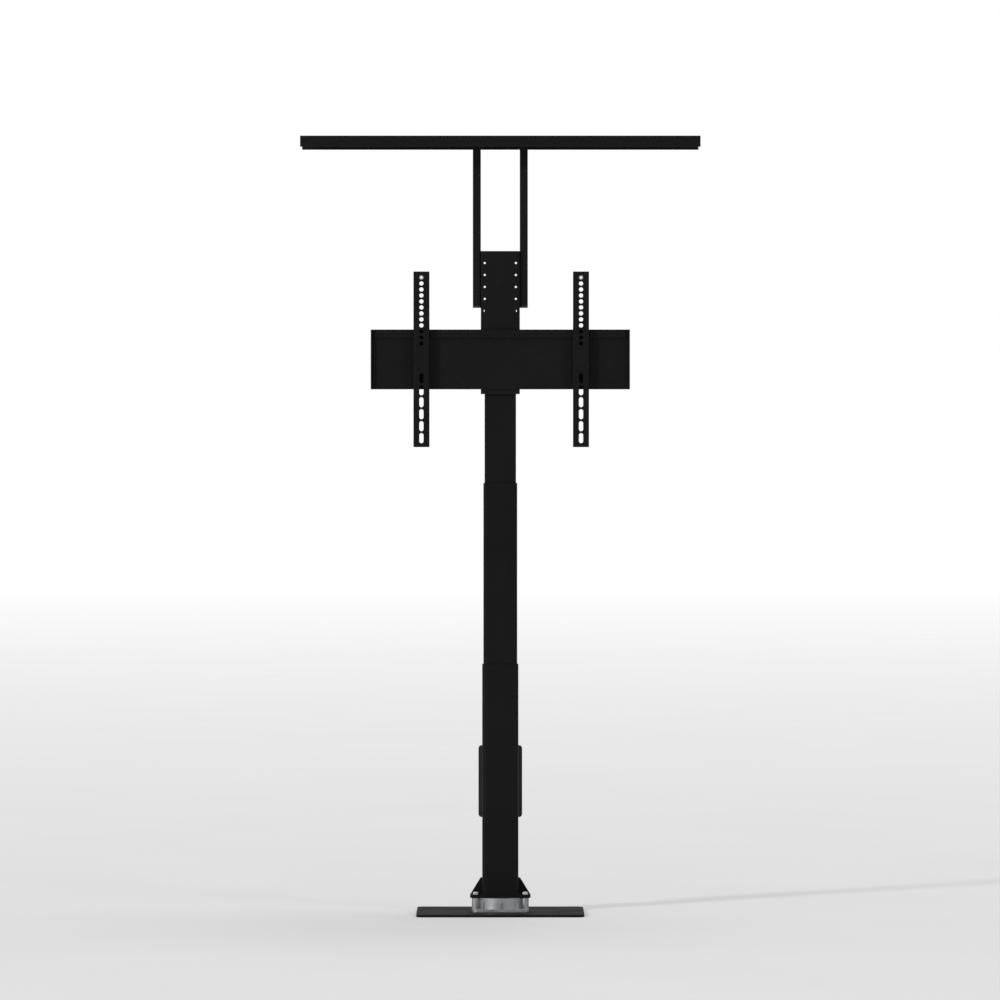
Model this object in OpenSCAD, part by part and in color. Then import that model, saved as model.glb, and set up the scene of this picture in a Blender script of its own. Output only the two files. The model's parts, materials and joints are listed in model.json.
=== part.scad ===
// Motorised lift for a flat screen. Three telescoping steel tubes stand on a base plate. A geared motor
// turns two nested screws that raise both moving tubes together. The carrier on top holds the screen arms
// and, on two posts, a shallow tray. Millimetres, +Z up, front towards -Y, drawn at full height.

$fn = 48;

/* [Base] */
// Width of the base plate
plate_w = 420; // [360:10:520]
// Depth of the base plate, front to back
plate_d = 320; // [290:10:380]
// Thickness of the base plate
plate_t = 6; // [5:1:10]
// Corner radius of the base plate
plate_r = 18; // [8:1:30]
// Distance from the plate's edges to the middle of a fixing hole
plate_hole_inset = 25; // [18:1:40]
// Diameter of a fixing hole in the base plate
plate_hole_d = 9; // [6:0.5:12]
// Thickness of the column's bolted foot
foot_t = 8; // [5:1:12]
// Height of the gussets on the foot
gusset_h = 42; // [20:1:60]

/* [Column] */
// Width of the top tube
top_w = 79; // [76:1:84]
// Depth of the top tube, front to back
top_d = 50; // [48:1:56]
// Outer corner radius of the top tube
top_r = 5; // [3:0.5:8]
// Wall of every tube
tube_wall = 1.5; // [1.2:0.1:2]
// Gap between one tube and the next
tube_gap = 1.5; // [1.2:0.1:2]
// Travel of each moving tube
stage_travel = 450; // [350:5:550]
// Length of a tube that stays inside the next one at full height
stage_overlap = 102; // [80:1:140]
// Height that a closed tube stands above the one around it
stage_lip = 5; // [2:1:12]

/* [Drive] */
// Teeth on the screw's gear
gear_teeth = 48; // [44:1:52]
// Teeth on the motor's pinion
pinion_teeth = 14; // [13:1:16]
// Face width of both gears
gear_face = 13; // [8:1:16]
// Diameter of the motor's can
motor_d = 54; // [48:1:60]
// Length of the motor's can
motor_len = 105; // [80:5:140]
// Outer diameter of the lower screw
screw_d = 18; // [17:0.5:19]
// Wall of the hollow upper screw
hollow_wall = 3; // [2.5:0.5:4]

/* [Control box] */
// Width of the control box
ctl_w = 110; // [100:1:140]
// Height of the control box
ctl_h = 180; // [170:1:220]
// Depth of the control box
ctl_d = 40; // [36:1:60]
// Wall of the control box
ctl_wall = 2.5; // [2:0.5:3]
// Height of the control box above the column's foot
ctl_rise = 200; // [140:5:240]

/* [Carrier] */
// Height of the carrier bracket
bracket_h = 359; // [340:1:380]
// Height of the bracket above the column
bracket_rise = 127.5; // [120:0.5:140]
// Depth of the bracket's side flanges
bracket_d = 48; // [44:1:56]
// Sheet thickness of the bracket and the panel
sheet_t = 2.5; // [2:0.1:3]
// Vertical pitch of the bracket's hole rows
row_pitch = 30; // [28:1:31]
// Diameter of the bracket's holes
row_d = 5.3; // [4:0.1:8]
// Width of the mount panel
panel_w = 650; // [600:1:760]
// Height of the mount panel
panel_h = 150; // [120:1:180]
// Forward depth of the panel's side flanges
panel_lip = 12; // [8:1:16]
// Height of the rail that the arms hook over
rail_h = 22; // [18:1:28]
// Thickness of the rail that the arms hook over
rail_t = 4; // [3:0.5:6]

/* [Arms] */
// Distance between the two arms' hole lines
arm_spacing = 400; // [360:10:440]
// Distance that both arms stand to the right of the column's middle
arm_shift = 2.3; // [-20:0.1:20]
// Length of an arm
arm_len = 440; // [420:5:480]
// Width of an arm
arm_w = 40; // [36:1:46]
// Depth of an arm
arm_d = 22; // [18:1:28]
// Sheet thickness of an arm
arm_t = 2; // [1.5:0.1:3]
// Diameter of the screen holes and width of the screen slots
arm_hole_d = 10.5; // [8:0.5:11]
// Pitch of the round holes, half the pitch of the slots
arm_hole_pitch = 15; // [14:1:16]
// Length of a screen slot
arm_slot_len = 25; // [18:1:26]

/* [Tray] */
// Width of the tray
tray_w = 1000; // [800:10:1200]
// Depth of the tray, front to back
tray_d = 184; // [150:2:220]
// Height of the tray's front and back flanges
tray_h = 28; // [20:0.5:40]
// Sheet thickness of the tray
tray_t = 2; // [1.5:0.1:3]
// Height of the tray's top above the column
tray_rise = 413.5; // [330:0.5:480]
// Distance of the tray's middle in front of the column's middle
tray_forward = 29; // [20:1:45]
// Width of a post
post_w = 20; // [16:1:26]
// Depth of a post, front to back
post_d = 30; // [24:1:36]
// Wall of a post
post_wall = 2; // [1.5:0.1:2.5]

/* [Hidden] */
// Clearances: sliding pieces, round running fits, fixed inserts, bolts in plain holes, cuts past a face
slide_gap = 0.3;
run_fit = 0.05;
seat_fit = 0.02;
bolt_gap = 0.3;
cut = 1;

// Fasteners
m3 = 3;
m4 = 4;
m5 = 5;
m6 = 6;
m8 = 8;
m8_af = 13;
m8_head_h = 5.3;
m8_washer_d = 16;
m8_washer_t = 1.6;
csk_skin = 0.1;
csk_d = 2 * m6;
csk_socket_d = 4.6;
csk_socket_depth = 1.6;

// Tubes grow outwards by one wall and one gap a side
stage_step = 2 * (tube_wall + tube_gap);
mid_w = top_w + stage_step;
mid_d = top_d + stage_step;
mid_r = top_r + stage_step / 2;
base_w = mid_w + stage_step;
base_d = mid_d + stage_step;
base_r = mid_r + stage_step / 2;

// Glide sleeves fill the gap between two tubes and stop each other at full height
glide_t = tube_gap - slide_gap;
glide_inset = 2;
glide_stop_gap = 10;
glide_h = (stage_overlap - glide_inset - glide_stop_gap) / 2;

// Gear train: the motor stands clear of the foot behind the column, and the teeth fill the centre distance
foot_margin = 1;
motor_gap = 3;
motor_y = base_d / 2 + foot_margin + motor_gap + motor_d / 2;
gear_module = 2 * motor_y / (gear_teeth + pinion_teeth);
gear_r = gear_module * gear_teeth / 2;
pinion_r = gear_module * pinion_teeth / 2;
gear_addendum = 0.8 * gear_module;
gear_dedendum = 1.15 * gear_module;
pressure_angle = 20;
flank_play = 0.15;
gear_gap = 1.5;
pocket_gap = 2;
gear_pocket_r = gear_r + gear_addendum + pocket_gap;
pinion_pocket_r = pinion_r + gear_addendum + pocket_gap;
shaft_d = 8;
shaft_gap = 0.5;
shaft_depth = 20;

// Drive housing: cover, gears, ledge and bearing stacked on the base plate
cover_t = 2;
cover_ledge = 4;
cover_gap = 0.2;
ledge_t = 4;
bearing_d = 35;
bearing_bore = 15;
bearing_h = 11;
bearing_cap = 1;
bearing_ledge_d = bearing_d - 8;
gear_z0 = plate_t + cover_t + gear_gap;
pocket_top = gear_z0 + gear_face + gear_gap;
bearing_z0 = pocket_top + ledge_t;
base_z0 = bearing_z0 + bearing_h + bearing_cap;
bolt_wall = 6.4;
foot_edge = 14;
housing_d = 2 * (gear_pocket_r + cover_ledge + bolt_wall / 2);
lobe_r = motor_d / 2 + 13;
boss_r = 9.5;
flange_t = 7;
flange_w = 6;
flange_r = 14;
rib_t = 4;
rib_inset = 1;
rib_angles = [0, 180, 225, 270, 315];
lobe_rib_angles = [35, 90, 145];
rib_h = 0.7 * (base_z0 - plate_t);
foot_bolt_x = gear_pocket_r + cover_ledge + bolt_wall;
foot_bolt_y = base_d / 2 - 11;
foot_w = 2 * (foot_bolt_x + foot_edge);
foot_d = base_d + 2 * foot_margin;
foot_r = 8;
gusset_t = 6;
gusset_land = 4;
gusset_inset = 3;
bolt_tip = 0.5;

// Motor
motor_ear_x = motor_d / 2 + 7;
motor_ear_r = 8;
motor_flange_t = 5;
motor_screw_depth = 12;
motor_head_d = 9.5;
motor_head_h = 4;
motor_groove = 0.8;
motor_groove_w = 1.6;
motor_groove_pitch = 4;
motor_cap_step = 1.5;
motor_cap_h = 11;
motor_cap_taper = 4;
terminal_w = 6;
terminal_t = 0.8;
terminal_h = 8;
terminal_x = 10;

// Heights of the column at full extension, with the room that each stage keeps below it when closed
foot_gap = 6;
plug_gap = 4;
nut_h = 20;
plug_wall = 2;
mid_bearing_h = 8;
plug_h = nut_h + plug_wall + mid_bearing_h;
top_plug_h = 24;
block_h = 25;
mid_len = stage_travel + plug_h + plug_gap + stage_overlap;
base_len = mid_len - stage_lip + foot_gap;
top_len = mid_len + stage_lip - plug_h - plug_gap;
base_top = base_z0 + base_len;
mid_top = base_top + stage_lip + stage_travel;
mid_z0 = mid_top - mid_len;
top_top = mid_top + stage_lip + stage_travel;
top_z0 = top_top - top_len;

// Screws, nuts and the key that turns both screws together
nut_wall = 6;
nut_d = screw_d + 2 * nut_wall;
bore_gap = 2;
hollow_bore = screw_d + 2 * bore_gap;
hollow_d = hollow_bore + 2 * hollow_wall;
top_nut_d = hollow_d + 2 * nut_wall;
journal_wall = 1.5;
mid_bearing_bore = hollow_bore + 2 * journal_wall;
mid_bearing_d = mid_bearing_bore + 13;
mid_bearing_z0 = mid_z0 + nut_h + plug_wall;
plug_hole_d = mid_bearing_bore + 4;
thrust_gap = 0.2;
screw_shoulder_z = bearing_z0 + bearing_h + thrust_gap;
screw_reach = 22;
screw_top = mid_z0 + plug_h + screw_reach;
screw_chamfer = 1;
hollow_shoulder_z = mid_bearing_z0 + mid_bearing_h + thrust_gap;
hollow_z0 = mid_bearing_z0 + thrust_gap;
hollow_reach = 16;
hollow_top = top_z0 + top_plug_h + hollow_reach;
key_w = 4;
key_depth = 2.2;
key_start = 4;
coupler_h = 16;
grub_len = 12;

// Gear web
web_hole_ring = 0.58 * gear_r;
web_hole_d = 0.34 * gear_r;
web_holes = 6;

// Control box: a tray on the back of the base tube, a board on stand-offs and a cover on four pillars
ctl_z0 = base_z0 + ctl_rise;
ctl_r = 8;
ctl_split = 8;
ctl_back = base_d / 2;
pillar_d = 10;
pillar_x = ctl_w / 2 - 12;
pillar_z = ctl_h / 2 - 20;
fix_z = ctl_h / 2 - 30;
fix_head_d = 8;
fix_head_h = 2.6;
cover_head_d = 6;
cover_head_h = 2.2;
cover_head_sink = 4;
board_y = 6;
board_t = 1.6;
board_gap = 1;
board_notch = pillar_d + 3;
standoff_d = 7;
standoff_x = 20;
standoff_z = ctl_h / 2 - 18;
relay = [16, 14, 20];
relay_z = 30;
capacitor_d = 16;
capacitor_h = 22;
capacitor_z = -20;
sink = [70, 18, 3];
sink_z = 56;
socket_w = 16;
socket_d = 12;
socket_h = 12;
socket_wall = 2;
socket_rim = 1;
socket_rim_t = 1.5;
socket_depth = 8;
socket_pitch = 30;
socket_fit = 0.1;
ctl_edge = 3;
vent_w = 3;
vent_len = 14;
vent_pitch = 8;
vents = 9;

// Carrier: the bracket passes over the base tube when the lift is down
bracket_side_gap = 1;
bracket_front_gap = 2;
bend_r = 4;
bracket_w = base_w + 2 * (bracket_side_gap + sheet_t);
bracket_face = -(base_d / 2 + bracket_front_gap + sheet_t);
bracket_top = top_top + bracket_rise;
bracket_z0 = bracket_top - bracket_h;
row_count = 5;
row_x = bracket_w / 2 - 10;
post_screw_rows = [2.5, 3.5];
post_screw_z = [for (row = post_screw_rows) bracket_top - row * row_pitch];
saddle_t = 3;
saddle_edge = 22;
saddle_front = bracket_face + sheet_t + 4;
saddle_back = bracket_face + bracket_d;
saddle_y = (saddle_front + saddle_back) / 2;
saddle_w = bracket_w - 2 * (sheet_t + seat_fit);
saddle_h = max(post_screw_z) - top_top + saddle_edge;
block_screw_x = 28;
block_screw_y = 10;
block_floor = 4;
head_d = 11;
head_h = 3.3;

// Panel
panel_drop = 12;
panel_z0 = bracket_z0 + panel_drop;
panel_top = panel_z0 + panel_h;
panel_face = bracket_face - sheet_t;
panel_screw_x = 30;
panel_screw_z = 40;
rail_end_gap = 7.5;
rail_len = panel_w - 2 * (sheet_t + rail_end_gap);
rail_face = panel_face - rail_t;

// Arms
arm_back = rail_face - slide_gap;
arm_face = arm_back - arm_d;
arm_z0 = panel_z0 + (panel_h - arm_len) / 2;
arm_top = arm_z0 + arm_len;
arm_holes = 12;
arm_slots = 6;
arm_slot_pitch = 2 * arm_hole_pitch;
arm_slot_end = 10;
arm_bend_r = arm_t + 1;
hook_seat = panel_top + slide_gap;
hook_gap_back = bracket_face + slide_gap;
hook_t = 8;
hook_back = hook_gap_back + hook_t;
hook_reach = 18;
hook_rise = 10;
hook_corner = 5;
lock_z = panel_top - 4.5;
lock_bar_t = 3;
lock_bar_up = 10;
lock_bar_down = 12;
knob_gap = 6;
knob_d = 18;
knob_h = 10;
knob_flutes = 10;
knob_flute_d = 4;
knob_flute_ring = knob_d / 2 + 0.8;
insert_bore = 5;
insert_len = 6;
insert_flange = 2;
insert_flange_t = 1.5;

// Tray and posts
tray_top = top_top + tray_rise;
tray_y = -tray_forward;
pad_t = 4;
pad_w = 60;
pad_d = 74;
pad_r = 6;
post_drop = 14.5;
plug_lip = 5;
plug_reach = 12;
post_z0 = top_top - post_drop;
post_tube_z0 = post_z0 + plug_lip;
post_top = tray_top - tray_t - pad_t;
post_x = (bracket_w + post_w) / 2;
post_y = bracket_face + bracket_d / 2;
post_r = post_wall + 0.5;
post_nut_d = 9;
post_nut_len = 0.6 * post_w;
post_nut_collar_d = 12;
post_nut_collar_t = 2.5;
post_screw_tail = 1;
post_seat = bracket_w / 2 - saddle_w / 2 + saddle_t;
tray_screw_y = pad_d / 2 - 9;
tray_screw_tail = 3;
tray_hole_d = 5;
tray_hole_inset = 40;
tray_hole_inner = post_x + pad_w / 2 + 51;
tray_hole_outer = tray_w / 2 - tray_hole_inset;
tray_hole_x = [tray_hole_inner, (tray_hole_inner + tray_hole_outer) / 2, tray_hole_outer];
tray_hole_y = tray_d / 2 - 24;

// Colours of the finishes
black_coat = "#1b1b1b";
dark_plastic = "#242424";
nylon = "#d8d6cc";
cast_grey = "#8f9294";
zinc = "#b4b7ba";
steel = "#8a8d90";
bronze = "#a98445";
board_green = "#2f5b3a";

// Flat shapes

// Rectangle with four round corners, centred
module rounded_rect(w, d, r) {
    square([w - 2 * r, d], center = true);
    square([w, d - 2 * r], center = true);
    corners(w / 2 - r, d / 2 - r) circle(r);
}

// Ring between two rounded rectangles
module rect_ring(w, d, r, wall) {
    difference() {
        rounded_rect(w, d, r);
        rounded_rect(w - 2 * wall, d - 2 * wall, r - wall);
    }
}

// Rectangle from y = 0 to y = d whose two corners at y = 0 are round
module front_rounded(w, d, r) {
    translate([-w / 2, r]) square([w, d - r]);
    translate([-w / 2 + r, 0]) square([w - 2 * r, r]);
    for (x = [-1, 1]) translate([x * (w / 2 - r), r]) circle(r);
}

// Bent sheet channel: web along y = 0, flanges towards +y
module channel(w, d, t, r) {
    difference() {
        front_rounded(w, d, r);
        translate([0, t]) front_rounded(w - 2 * t, d, r - t);
    }
}

// Slot with round ends, standing along y
module upright_slot(len, wide) {
    square([wide, len - wide], center = true);
    for (y = [-1, 1]) translate([0, y * (len - wide) / 2]) circle(d = wide);
}

// Involute of an angle, in degrees
function involute(a) = tan(a) * 180 / PI - a;

// Half the angle that a tooth of an n-tooth gear takes up at radius r
function tooth_half(r, n) =
    let (pitch_r = gear_module * n / 2, base_circle = pitch_r * cos(pressure_angle))
    90 / n + involute(pressure_angle) - involute(acos(min(1, base_circle / r)))
    - flank_play / pitch_r * 180 / PI;

function polar(r, a) = [r * cos(a), r * sin(a)];

// Spur gear outline with a tooth on the x axis
module gear_outline(n) {
    pitch_r = gear_module * n / 2;
    radii = [
        pitch_r - gear_dedendum, pitch_r - gear_addendum / 2, pitch_r, pitch_r + gear_addendum / 2,
        pitch_r + gear_addendum
    ];
    last = len(radii) - 1;
    polygon([
        for (i = [0 : n - 1], side = [-1, 1], k = [0 : last])
            let (r = radii[side < 0 ? k : last - k])
            polar(r, i * 360 / n + side * tooth_half(r, n))
    ]);
}

// Shared solids and places

// Puts children at the four corners of a rectangle
module corners(x, y) {
    for (i = [-1, 1], j = [-1, 1]) translate([i * x, j * y]) children();
}

// Stands a flat shape up, so that its y axis becomes z, and gives it a thickness towards +y
module upright(t) {
    rotate([90, 0, 0]) translate([0, 0, -t]) linear_extrude(t) children();
}

// Turns children so that their z axis points along +y
module facing_back() {
    rotate([-90, 0, 0]) children();
}

// Cylinder along y from the origin towards +y
module rod_y(d, len) {
    facing_back() cylinder(d = d, h = len);
}

// Cylinder along x from the origin towards +x
module rod_x(d, len) {
    rotate([0, 90, 0]) cylinder(d = d, h = len);
}

// Countersunk head that fills a sheet below the origin, grown by a clearance
module countersink(sheet, grow = 0) {
    h = sheet - csk_skin;
    translate([0, 0, -h]) cylinder(d1 = m6 + 2 * grow, d2 = csk_d + 2 * grow, h = h);
}

// Countersunk screw with its head at the origin and its shank along -z
module countersunk_screw(sheet, len) {
    translate([0, 0, -len]) cylinder(d = m6, h = len);
    countersink(sheet);
}

// Button head with a hexagon socket, its seat at the origin and its dome towards +z
module socket_head(d, h) {
    difference() {
        cylinder(d1 = d, d2 = 0.72 * d, h = h);
        translate([0, 0, 0.4 * h]) cylinder(d = 0.42 * d, h = h, $fn = 6);
    }
}

// Sweeps a section round a rectangle with round corners. The section's x axis points outwards from the middle
// of a corner's arc, and its y axis becomes z
module swept_rim(w, d, r) {
    for (side = [0, 180]) rotate(side) {
        translate([w / 2 - r, 0, 0]) rotate([90, 0, 0]) linear_extrude(d - 2 * r, center = true) children();
        translate([0, d / 2 - r, 0]) rotate([90, 0, 90]) linear_extrude(w - 2 * r, center = true) children();
        translate([w / 2 - r, d / 2 - r, 0]) rotate_extrude(angle = 90) children();
        translate([r - w / 2, d / 2 - r, 0]) rotate(90) rotate_extrude(angle = 90) children();
    }
}

// Hole through everything between two heights
module shaft_hole(d, from, to) {
    translate([0, 0, from]) cylinder(d = d, h = to - from);
}

// Ball bearing standing on z = 0
module ball_bearing(outer, bore, h) {
    ring = (outer - bore) / 2;
    race = 0.7 * ring;
    ball = ring / 2;
    ball_ring = (outer + bore) / 4;
    difference() {
        for (size = [[outer - 2 * seat_fit, outer - race], [bore + race, bore]]) difference() {
            cylinder(d = size[0], h = h);
            shaft_hole(size[1], -cut, h + cut);
        }
        translate([0, 0, h / 2]) rotate_extrude() translate([ball_ring, 0]) circle(d = ball + 2 * run_fit);
    }
    for (a = [0 : 45 : 315]) rotate(a) translate([ball_ring, 0, h / 2]) sphere(d = ball);
}

// Base

module base_plate() {
    color(black_coat) linear_extrude(plate_t) difference() {
        rounded_rect(plate_w, plate_d, plate_r);
        corners(plate_w / 2 - plate_hole_inset, plate_d / 2 - plate_hole_inset) circle(d = plate_hole_d);
        corners(foot_bolt_x, foot_bolt_y) circle(d = m8 + 2 * run_fit);
    }
}

// Outline of the plate that closes the gear pocket, drawn smaller by a gap
module cover_outline(gap) {
    circle(gear_pocket_r + cover_ledge - gap);
    translate([0, motor_y]) circle(pinion_pocket_r + cover_ledge - gap);
}

// Cast foot of the housing, wider than its walls
module housing_flange() {
    rounded_rect(2 * (foot_bolt_x + boss_r), housing_d + 2 * flange_w, flange_r);
    translate([0, motor_y]) circle(lobe_r + flange_w);
}

// Walls round both gear pockets, with a boss at each foot bolt
module housing_walls() {
    circle(d = housing_d);
    translate([0, motor_y]) circle(lobe_r);
    corners(foot_bolt_x, foot_bolt_y) circle(boss_r);
}

// Ribs between a round wall and the flange
module housing_ribs(wall_r, angles) {
    for (a = angles) rotate(a) translate([0, -rib_t / 2]) square([wall_r + flange_w - rib_inset, rib_t]);
}

module drive_housing() {
    color(cast_grey) difference() {
        translate([0, 0, plate_t]) {
            linear_extrude(flange_t) housing_flange();
            linear_extrude(base_z0 - plate_t) housing_walls();
            linear_extrude(rib_h) {
                housing_ribs(housing_d / 2, rib_angles);
                translate([0, motor_y]) housing_ribs(lobe_r, lobe_rib_angles);
            }
        }
        translate([0, 0, plate_t - cut]) linear_extrude(cover_t + cut) cover_outline(0);
        translate([0, 0, plate_t]) linear_extrude(pocket_top - plate_t) {
            circle(gear_pocket_r);
            translate([0, motor_y]) circle(pinion_pocket_r);
        }
        shaft_hole(bearing_ledge_d, plate_t, bearing_z0 + cut);
        shaft_hole(bearing_d, bearing_z0, base_z0 + cut);
        translate([0, motor_y]) shaft_hole(shaft_d + 2 * shaft_gap, plate_t, base_z0 + cut);
        corners(foot_bolt_x, foot_bolt_y) shaft_hole(m8 + 2 * bolt_gap, 0, base_z0 + cut);
        for (x = [-1, 1]) translate([x * motor_ear_x, motor_y])
            shaft_hole(m5 + 2 * run_fit, base_z0 - motor_screw_depth - cut, base_z0 + cut);
    }
}

module housing_cover() {
    color(zinc) translate([0, 0, plate_t]) linear_extrude(cover_t) cover_outline(cover_gap);
}

module column_foot() {
    gusset_w = foot_w / 2 - base_w / 2 - gusset_inset;
    color(black_coat) translate([0, 0, base_z0]) {
        linear_extrude(foot_t) difference() {
            rounded_rect(foot_w, foot_d, foot_r);
            rounded_rect(base_w, base_d, base_r);
            corners(foot_bolt_x, foot_bolt_y) circle(d = m8 + 2 * bolt_gap);
        }
        for (side = [0, 180]) rotate(side)
            translate([base_w / 2, -gusset_t / 2, foot_t]) upright(gusset_t) polygon([
                [0, 0], [gusset_w, 0], [gusset_w, gusset_land], [gusset_land, gusset_h], [0, gusset_h]
            ]);
    }
}

module foot_bolts() {
    seat_z = base_z0 + foot_t;
    color(zinc) corners(foot_bolt_x, foot_bolt_y) {
        shaft_hole(m8, bolt_tip, seat_z);
        translate([0, 0, seat_z]) cylinder(d = m8_washer_d, h = m8_washer_t);
        translate([0, 0, seat_z + m8_washer_t]) cylinder(d = m8_af / cos(30), h = m8_head_h, $fn = 6);
    }
}

module base_tube() {
    color(black_coat) difference() {
        translate([0, 0, base_z0]) linear_extrude(base_len) rect_ring(base_w, base_d, base_r, tube_wall);
        control_fix_places() translate([0, -cut, 0]) rod_y(m4 + 2 * run_fit, tube_wall + 2 * cut);
    }
}

// Nylon sleeve inside the mouth of a tube with the given outer size
module mouth_glide(w, d, r, mouth_z) {
    color(nylon) translate([0, 0, mouth_z - glide_inset - glide_h]) linear_extrude(glide_h)
        rect_ring(w - 2 * tube_wall, d - 2 * tube_wall, r - tube_wall, glide_t);
}

// Nylon sleeve around the lower end of a tube with the given outer size
module foot_glide(w, d, r, foot_z) {
    color(nylon) translate([0, 0, foot_z]) linear_extrude(glide_h)
        rect_ring(w + 2 * glide_t, d + 2 * glide_t, r + glide_t, glide_t);
}

module base_glide() {
    mouth_glide(base_w, base_d, base_r, base_top);
}

module lower_bearing() {
    color(steel) translate([0, 0, bearing_z0]) ball_bearing(bearing_d, bearing_bore, bearing_h);
}

module motor_can() {
    color(dark_plastic) translate([0, motor_y, base_z0]) difference() {
        union() {
            cylinder(d = motor_d, h = motor_len);
            linear_extrude(motor_flange_t) {
                square([2 * motor_ear_x, 2 * motor_ear_r], center = true);
                for (x = [-1, 1]) translate([x * motor_ear_x, 0]) circle(motor_ear_r);
            }
        }
        for (x = [-1, 1]) translate([x * motor_ear_x, 0])
            shaft_hole(m5 + 2 * bolt_gap, -cut, motor_flange_t + cut);
        shaft_hole(shaft_d + 2 * shaft_gap, -cut, shaft_depth + cut);
        for (i = [2, 3]) translate([0, 0, motor_len - i * motor_groove_pitch]) difference() {
            cylinder(d = motor_d + cut, h = motor_groove_w);
            cylinder(d = motor_d - 2 * motor_groove, h = motor_groove_w);
        }
    }
}

module motor_cap() {
    cap_d = motor_d - 2 * motor_cap_step;
    color(dark_plastic) translate([0, motor_y, base_z0 + motor_len]) {
        cylinder(d = cap_d, h = motor_cap_h);
        translate([0, 0, motor_cap_h])
            cylinder(d1 = cap_d, d2 = cap_d - 2 * motor_cap_taper, h = motor_cap_taper);
        for (x = [-1, 1])
            translate([x * terminal_x - terminal_w / 2, -terminal_t / 2, motor_cap_h + motor_cap_taper])
                cube([terminal_w, terminal_t, terminal_h]);
    }
}

module motor_screws() {
    color(zinc) for (x = [-1, 1]) translate([x * motor_ear_x, motor_y, base_z0]) {
        shaft_hole(m5, -motor_screw_depth, motor_flange_t);
        translate([0, 0, motor_flange_t]) socket_head(motor_head_d, motor_head_h);
    }
}

// Control box

// Part of the control box between two depths, with its outline drawn smaller by a gap
module control_block(from, to, gap) {
    translate([0, ctl_back + from, ctl_z0 + ctl_h / 2]) upright(to - from)
        rounded_rect(ctl_w - 2 * gap, ctl_h - 2 * gap, ctl_r - gap);
}

// Inner faces of the base tube's back wall where the control box is screwed on
module control_fix_places() {
    for (z = [-1, 1]) translate([0, ctl_back - tube_wall, ctl_z0 + ctl_h / 2 + z * fix_z]) children();
}

// Middles of the pillars that hold the cover, at the floor of the tray
module pillar_places() {
    for (x = [-1, 1], z = [-1, 1])
        translate([x * pillar_x, ctl_back + ctl_wall, ctl_z0 + ctl_h / 2 + z * pillar_z]) children();
}

// Middles of the board's stand-offs, at the floor of the tray
module standoff_places() {
    for (x = [-1, 1], z = [-1, 1])
        translate([x * standoff_x, ctl_back + ctl_wall, ctl_z0 + ctl_h / 2 + z * standoff_z]) children();
}

module control_box_tray() {
    color(dark_plastic) difference() {
        control_block(0, ctl_split, 0);
        difference() {
            control_block(ctl_wall, ctl_split + cut, ctl_wall);
            pillar_places() translate([0, -cut, 0]) rod_y(pillar_d, ctl_split + cut);
            standoff_places() translate([0, -cut, 0]) rod_y(standoff_d, board_y - ctl_wall + cut);
        }
        control_fix_places() rod_y(m4 + 2 * bolt_gap, tube_wall + ctl_wall + cut);
        pillar_places() rod_y(m3 + 2 * run_fit, ctl_split);
    }
}

module control_board() {
    inset = ctl_wall + board_gap;
    color(board_green) translate([0, ctl_back + board_y, ctl_z0 + ctl_h / 2]) {
        upright(board_t) difference() {
            rounded_rect(ctl_w - 2 * inset, ctl_h - 2 * inset, ctl_r - inset);
            corners(pillar_x, pillar_z) square(board_notch, center = true);
        }
        for (i = [-1 : 1]) translate([1.5 * i * relay.x - relay.x / 2, board_t, relay_z]) cube(relay);
        for (x = [-1, 1]) translate([x * capacitor_d, board_t, capacitor_z]) rod_y(capacitor_d, capacitor_h);
        translate([-sink.x / 2, board_t, sink_z]) cube(sink);
    }
}

// Middles of the sockets on the underside of the cover
module socket_places() {
    for (i = [-1 : 1]) translate([i * socket_pitch, ctl_back + (ctl_d + ctl_split) / 2, ctl_z0]) children();
}

// Block standing on z = 0 with its middle on the z axis
module standing_block(w, d, h) {
    translate([-w / 2, -d / 2, 0]) cube([w, d, h]);
}

// Section of the cover's rounded front edge, below its front face
module cover_rim() {
    translate([0, -ctl_edge]) square([ctl_r - ctl_edge, ctl_edge]);
    intersection() {
        translate([0, -ctl_edge]) square([ctl_r, ctl_edge]);
        translate([ctl_r - ctl_edge, -ctl_edge]) circle(ctl_edge);
    }
}

module control_box_cover() {
    head_y = ctl_d - ctl_wall - cover_head_sink;
    color(dark_plastic) difference() {
        union() {
            control_block(ctl_split, ctl_d - ctl_edge, 0);
            control_block(ctl_split, ctl_d, ctl_r);
            translate([0, ctl_back + ctl_d, ctl_z0 + ctl_h / 2]) facing_back()
                swept_rim(ctl_w, ctl_h, ctl_r) cover_rim();
        }
        difference() {
            control_block(ctl_split - cut, ctl_d - ctl_wall, ctl_wall);
            pillar_places() rod_y(pillar_d, ctl_d);
        }
        pillar_places() {
            rod_y(m3 + 2 * bolt_gap, ctl_d);
            translate([0, head_y, 0]) rod_y(cover_head_d + 2 * bolt_gap, ctl_d);
        }
        socket_places() translate([0, 0, -cut]) standing_block(socket_w, socket_d, ctl_wall + 2 * cut);
        translate([0, ctl_back + (ctl_d + ctl_split) / 2, ctl_z0 + ctl_h - ctl_wall - cut])
            for (i = [0 : vents - 1]) translate([(i - (vents - 1) / 2) * vent_pitch, 0, 0])
                standing_block(vent_w, vent_len, ctl_wall + 2 * cut);
    }
}

module control_box_screws() {
    head_y = ctl_d - ctl_wall - cover_head_sink;
    color(zinc) {
        pillar_places() {
            translate([0, bolt_tip, 0]) rod_y(m3, head_y - bolt_tip);
            translate([0, head_y, 0]) facing_back() socket_head(cover_head_d, cover_head_h);
        }
        control_fix_places() {
            rod_y(m4, tube_wall + ctl_wall);
            translate([0, tube_wall + ctl_wall, 0]) facing_back() socket_head(fix_head_d, fix_head_h);
        }
    }
}

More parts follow.
